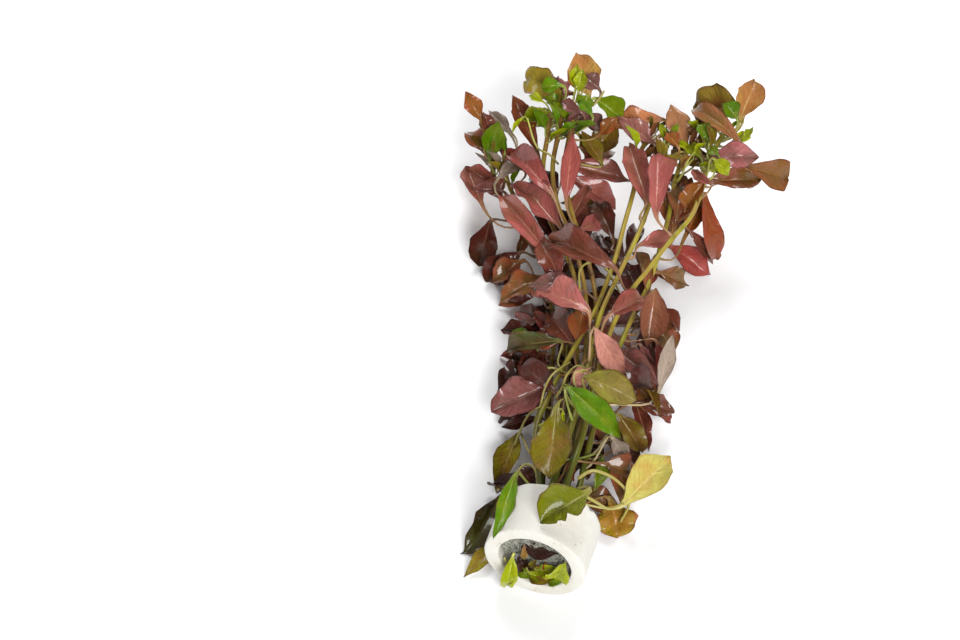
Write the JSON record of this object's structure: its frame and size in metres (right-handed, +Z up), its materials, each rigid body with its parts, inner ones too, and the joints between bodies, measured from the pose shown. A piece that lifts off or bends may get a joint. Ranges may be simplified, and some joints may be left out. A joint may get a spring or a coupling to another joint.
{
  "type": "aquarium plant",
  "caption": "Bunch of a red-leaved aquatic stem plant, its stem ends wrapped in wool and held in a short ceramic ring, lying on its side.",
  "frame": {"origin": "on the flat facet that the ring lies on, in its middle across and 10 mm behind the ring's open end, so z = 0 is the table", "axes": "+Y along the ring's axis from its open end towards the tips of the stems, +X to the right seen from the open end, +Z up"},
  "size_m": [0.1126, 0.1846, 0.0497],
  "materials": {
    "ring": "matt, chalky and slightly rough, unglazed",
    "wool": "matt, wet grey mineral wool",
    "stem": "smooth, wet sheen, yellow-green",
    "wine_leaf": "wet gloss, wine red with a pale midrib",
    "pink_leaf": "wet satin, dusty rose with a cream midrib",
    "mauve_leaf": "wet satin, greyish mauve",
    "brown_leaf": "wet gloss, red-brown",
    "dark_leaf": "wet gloss, very dark red-brown",
    "orange_leaf": "wet gloss, orange-brown",
    "salmon_leaf": "wet satin, salmon pink",
    "olive_leaf": "wet gloss, olive flushed with bronze",
    "green_leaf": "wet gloss, fresh green",
    "yellow_leaf": "wet satin, yellow flushed with orange"
  },
  "bodies": {
    "root": {"leaf_l1_1": "dark_leaf", "leaf_l1_2": "pink_leaf", "leaf_l1_3": "olive_leaf", "leaf_l1_4": "dark_leaf", "leaf_l1_5": "dark_leaf", "leaf_l1_6": "dark_leaf", "leaf_l2_1": "mauve_leaf", "leaf_l2_2": "pink_leaf", "leaf_m1_1": "brown_leaf", "leaf_m1_2": "orange_leaf", "leaf_m2_1": "olive_leaf", "leaf_m2_2": "pink_leaf", "leaf_m2_3": "olive_leaf", "leaf_m2_4": "pink_leaf", "leaf_m3_1": "orange_leaf", "leaf_m3_2": "green_leaf", "leaf_m3_3": "olive_leaf", "leaf_m3_4": "pink_leaf", "leaf_m3_5": "pink_leaf", "leaf_r1_1": "orange_leaf", "leaf_r1_2": "orange_leaf", "leaf_r1_3": "olive_leaf", "leaf_r1_4": "green_leaf", "leaf_r2_1": "pink_leaf", "leaf_r2_2": "pink_leaf", "leaf_r2_3": "pink_leaf", "leaf_r2_4": "pink_leaf", "leaf_r2_5": "pink_leaf", "leaf_r2_6": "salmon_leaf", "leaf_r2_7": "green_leaf", "leaf_r3_1": "pink_leaf", "leaf_r3_10": "wine_leaf", "leaf_r3_11": "olive_leaf", "leaf_r3_12": "olive_leaf", "leaf_r3_2": "olive_leaf", "leaf_r3_3": "orange_leaf", "leaf_r3_4": "brown_leaf", "leaf_r3_5": "mauve_leaf", "leaf_r3_6": "orange_leaf", "leaf_r3_7": "brown_leaf", "leaf_r3_8": "orange_leaf", "leaf_r3_9": "wine_leaf", "leaf_r4_1": "brown_leaf", "leaf_r4_2": "wine_leaf", "leaf_r4_3": "brown_leaf", "leaf_r4_4": "brown_leaf", "leaf_r4_5": "wine_leaf", "leaf_r4_6": "yellow_leaf", "leaf_r4_7": "wine_leaf", "ring": "ring", "stem_l1": "stem", "stem_l2": "stem", "stem_m1": "stem", "stem_m2": "stem", "stem_m3": "stem", "stem_r1": "stem", "stem_r2": "stem", "stem_r3": "stem", "stem_r4": "stem", "wool": "wool"}
  },
  "joints": []
}
